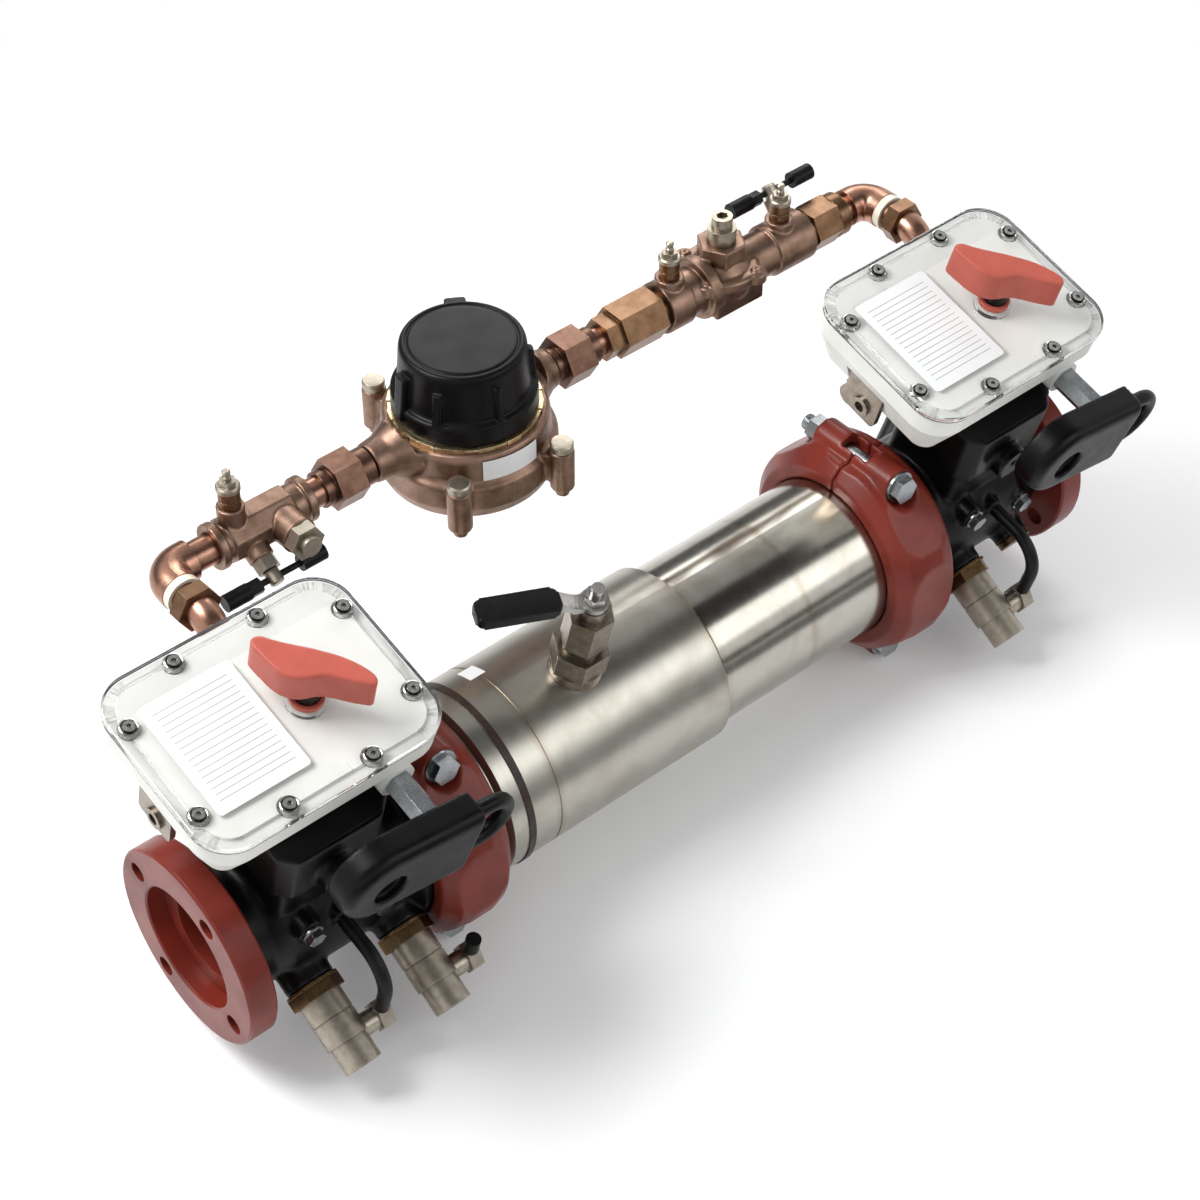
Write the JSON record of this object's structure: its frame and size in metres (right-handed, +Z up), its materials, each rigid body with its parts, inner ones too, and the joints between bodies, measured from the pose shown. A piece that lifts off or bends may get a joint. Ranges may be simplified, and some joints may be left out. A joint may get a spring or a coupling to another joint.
{
  "type": "backflow detector assembly",
  "caption": "Flanged backflow prevention assembly with grooved couplings, stainless check barrel, geared shutoff valves and a metered copper bypass line.",
  "frame": {"origin": "centre of the inlet flange's outer face", "axes": "+X along the main pipe from inlet to outlet, +Y from the main pipe toward the metered bypass, +Z up"},
  "size_m": [1.0546, 0.4514, 0.427],
  "materials": {
    "red_enamel": "satin",
    "black_epoxy": "satin",
    "black_rubber": "matt",
    "white_abs": "satin",
    "clear_lid": "gloss",
    "zinc_steel": "satin",
    "stainless": "brushed",
    "nickel_brass": "satin",
    "coral_red": "satin",
    "black_nylon": "satin",
    "patina_brass": "satin",
    "brass": "satin",
    "bronze": "cast",
    "copper": "satin",
    "ptfe": "matt",
    "dark_band": "satin"
  },
  "bodies": {
    "assembly": {"inlet_flange": "red_enamel", "outlet_flange": "red_enamel", "inlet_body": "black_epoxy", "outlet_body": "black_epoxy", "seat_liners": "black_rubber", "inlet_housing": "white_abs", "outlet_housing": "white_abs", "inlet_lid": "clear_lid", "outlet_lid": "clear_lid", "lid_screws": "zinc_steel", "lug_brackets": "patina_brass", "inlet_coupling_front": "red_enamel", "inlet_coupling_back": "red_enamel", "outlet_coupling_front": "red_enamel", "outlet_coupling_back": "red_enamel", "gaskets": "black_rubber", "bolts": "zinc_steel", "barrel": "stainless", "barrel_band": "dark_band", "check_seats": "nickel_brass", "test_valve_body": "nickel_brass", "cock_hexes": "patina_brass", "front_cocks": "nickel_brass", "outlet_plug": "patina_brass", "hoses": "black_rubber", "copper_tubes": "copper", "elbows": "copper", "ptfe_rings": "ptfe", "tee": "bronze", "bypass_check_body": "bronze", "bonnet_plug": "nickel_brass", "bypass_check_seats": "brass", "bypass_cocks": "brass", "cock_stems": "nickel_brass", "nickel_fittings": "nickel_brass", "union_nuts": "bronze", "adaptors": "brass", "meter_body": "bronze", "meter_ring": "brass", "meter_bolts": "nickel_brass", "meter_cap": "black_nylon"},
    "inlet_drive": {"inlet_input_shaft": "zinc_steel", "inlet_crank": "black_nylon"},
    "inlet_indicator": {"inlet_hub": "black_nylon", "inlet_handle": "coral_red"},
    "inlet_shutoff": {"inlet_disc": "nickel_brass"},
    "outlet_drive": {"outlet_input_shaft": "zinc_steel", "outlet_crank": "black_nylon"},
    "outlet_indicator": {"outlet_hub": "black_nylon", "outlet_handle": "coral_red"},
    "outlet_shutoff": {"outlet_disc": "nickel_brass"},
    "first_check": {"first_check_poppet": "nickel_brass"},
    "second_check": {"second_check_poppet": "nickel_brass"},
    "bypass_check_one": {"bypass_poppet_one": "brass"},
    "bypass_check_two": {"bypass_poppet_two": "brass"},
    "test_valve": {"test_valve_lever": "stainless"},
    "tee_valve": {"tee_valve_handle": "black_rubber"},
    "back_valve": {"back_valve_handle": "black_rubber"},
    "meter_rotor": {"meter_rotor": "ptfe"}
  },
  "joints": [
    {"name": "inlet_crank_turn", "type": "hinge", "parent": "assembly", "child": "inlet_drive", "pos_m": [0.167, -0.10558, 0.1622], "axis": [0, -0.9659, -0.2588], "range_deg": [-1260, 1260]},
    {"name": "inlet_indicator_turn", "type": "hinge", "parent": "assembly", "child": "inlet_indicator", "pos_m": [0.13, -0.02282, 0.232], "axis": [0, -0.2588, 0.9659], "range_deg": [-45, 45]},
    {"name": "inlet_disc_turn", "type": "hinge", "parent": "assembly", "child": "inlet_shutoff", "pos_m": [0.13, 0, 0], "axis": [0, -0.2588, 0.9659], "range_deg": [-45, 45]},
    {"name": "outlet_crank_turn", "type": "hinge", "parent": "assembly", "child": "outlet_drive", "pos_m": [0.959, -0.10558, 0.1622], "axis": [0, -0.9659, -0.2588], "range_deg": [-1260, 1260]},
    {"name": "outlet_indicator_turn", "type": "hinge", "parent": "assembly", "child": "outlet_indicator", "pos_m": [0.922, -0.02282, 0.232], "axis": [0, -0.2588, 0.9659], "range_deg": [-45, 45]},
    {"name": "outlet_disc_turn", "type": "hinge", "parent": "assembly", "child": "outlet_shutoff", "pos_m": [0.922, 0, 0], "axis": [0, -0.2588, 0.9659], "range_deg": [-45, 45]},
    {"name": "first_check_slide", "type": "slide", "parent": "assembly", "child": "first_check", "axis": [1, 0, 0], "range_m": [0, 0.024], "stiffness_N_per_m": 450, "springref_m": -0.03},
    {"name": "second_check_slide", "type": "slide", "parent": "assembly", "child": "second_check", "axis": [1, 0, 0], "range_m": [0, 0.024], "stiffness_N_per_m": 450, "springref_m": -0.03},
    {"name": "bypass_check_one_slide", "type": "slide", "parent": "assembly", "child": "bypass_check_one", "axis": [1, 0, 0], "range_m": [0, 0.005], "stiffness_N_per_m": 150, "springref_m": -0.01},
    {"name": "bypass_check_two_slide", "type": "slide", "parent": "assembly", "child": "bypass_check_two", "axis": [1, 0, 0], "range_m": [0, 0.005], "stiffness_N_per_m": 150, "springref_m": -0.01},
    {"name": "test_valve_turn", "type": "hinge", "parent": "assembly", "child": "test_valve", "pos_m": [0.411, -0.05073, 0.18932], "axis": [0, -0.2588, 0.9659], "range_deg": [0, 90]},
    {"name": "tee_valve_turn", "type": "hinge", "parent": "assembly", "child": "tee_valve", "pos_m": [0.214, 0.1443, 0.1985], "axis": [0, -0.866, -0.5], "range_deg": [-90, 0]},
    {"name": "back_valve_turn", "type": "hinge", "parent": "assembly", "child": "back_valve", "pos_m": [0.86, 0.21521, 0.258], "axis": [0, 0.6428, 0.766], "range_deg": [-90, 0]},
    {"name": "meter_spin", "type": "hinge", "parent": "assembly", "child": "meter_rotor", "pos_m": [0.458, 0.185, 0.208], "axis": [0, 0, 1], "continuous": true}
  ],
  "couplings": [
    {"joint": "inlet_indicator_turn", "follows": "inlet_crank_turn", "ratio": 0.035714},
    {"joint": "inlet_disc_turn", "follows": "inlet_crank_turn", "ratio": 0.035714},
    {"joint": "outlet_indicator_turn", "follows": "outlet_crank_turn", "ratio": 0.035714},
    {"joint": "outlet_disc_turn", "follows": "outlet_crank_turn", "ratio": 0.035714}
  ]
}
